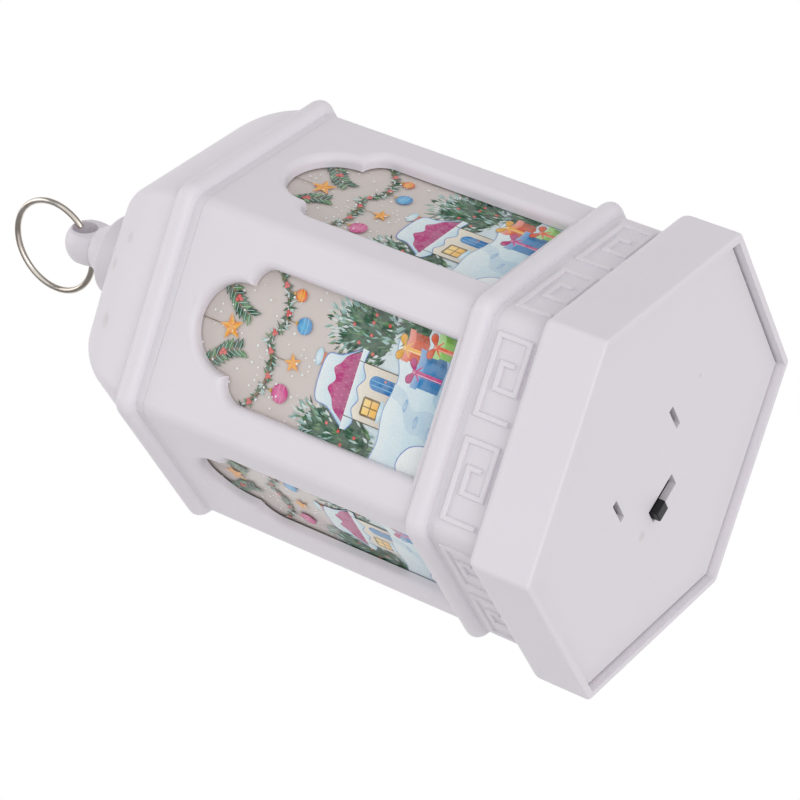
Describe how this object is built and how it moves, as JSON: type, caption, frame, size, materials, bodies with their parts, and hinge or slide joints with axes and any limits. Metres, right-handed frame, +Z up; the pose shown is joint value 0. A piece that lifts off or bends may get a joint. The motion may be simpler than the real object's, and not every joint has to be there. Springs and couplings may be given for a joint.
{
  "type": "lantern night light",
  "caption": "Hexagonal hanging lantern night light with arched windows, a clear printed sleeve, a slide switch in its base and a lift-out lamp module.",
  "frame": {"origin": "centre of the plinth's bottom rim, on the surface that the lantern stands on", "axes": "+Z up the lantern's axis towards the hanging ring, +X through a corner of the hexagon, one window faces -Y"},
  "size_m": [0.0678, 0.0588, 0.1177],
  "materials": {
    "white_plastic": "satin moulded polypropylene",
    "window_sleeve": "clear sheet with a printed winter scene",
    "nickel_wire": "bright nickel plate",
    "cell_steel": "satin",
    "screw_steel": "zinc plate",
    "tinned_brass": "tin plate",
    "green_laminate": "green board lacquer",
    "brown_laminate": "pressed laminate",
    "warm_lens": "clear epoxy",
    "ceramic": "glazed ceramic",
    "black_plastic": "satin",
    "black_vinyl": "wire insulation",
    "red_vinyl": "wire insulation"
  },
  "bodies": {
    "lantern_shell": {"roof_cap": "white_plastic", "wall_body": "white_plastic", "window_film": "window_sleeve", "base_skirt": "white_plastic"},
    "lamp_module": {"base_plate": "white_plastic", "battery_box": "white_plastic", "button_cell_1": "cell_steel", "button_cell_2": "cell_steel", "button_cell_3": "cell_steel", "negative_spring": "tinned_brass", "positive_contact": "tinned_brass", "circuit_board": "green_laminate", "board_screw_1": "screw_steel", "board_screw_2": "screw_steel", "lamp_lens": "warm_lens", "lamp_lead_1": "tinned_brass", "lamp_lead_2": "tinned_brass", "chip_resistor": "ceramic", "switch_case": "screw_steel", "switch_base": "brown_laminate", "switch_terminal_1": "tinned_brass", "switch_terminal_2": "tinned_brass", "switch_terminal_3": "tinned_brass", "battery_wire": "black_vinyl", "switch_wire_in": "red_vinyl", "switch_wire_out": "black_vinyl"},
    "switch_knob": {"switch_knob": "black_plastic"},
    "hanging_ring": {"hanging_ring": "nickel_wire"}
  },
  "joints": [
    {"name": "ring_swing", "type": "hinge", "parent": "lantern_shell", "child": "hanging_ring", "pos_m": [0, 0, 0.1034], "axis": [0.8829, -0.4695, 0], "range_deg": [-135, 135]},
    {"name": "module_removal", "type": "slide", "parent": "lantern_shell", "child": "lamp_module", "axis": [0, 0, -1], "range_m": [0, 0.035]},
    {"name": "switch_slide", "type": "slide", "parent": "lamp_module", "child": "switch_knob", "axis": [0.866, 0.5, 0], "range_m": [0, 0.0036]}
  ]
}
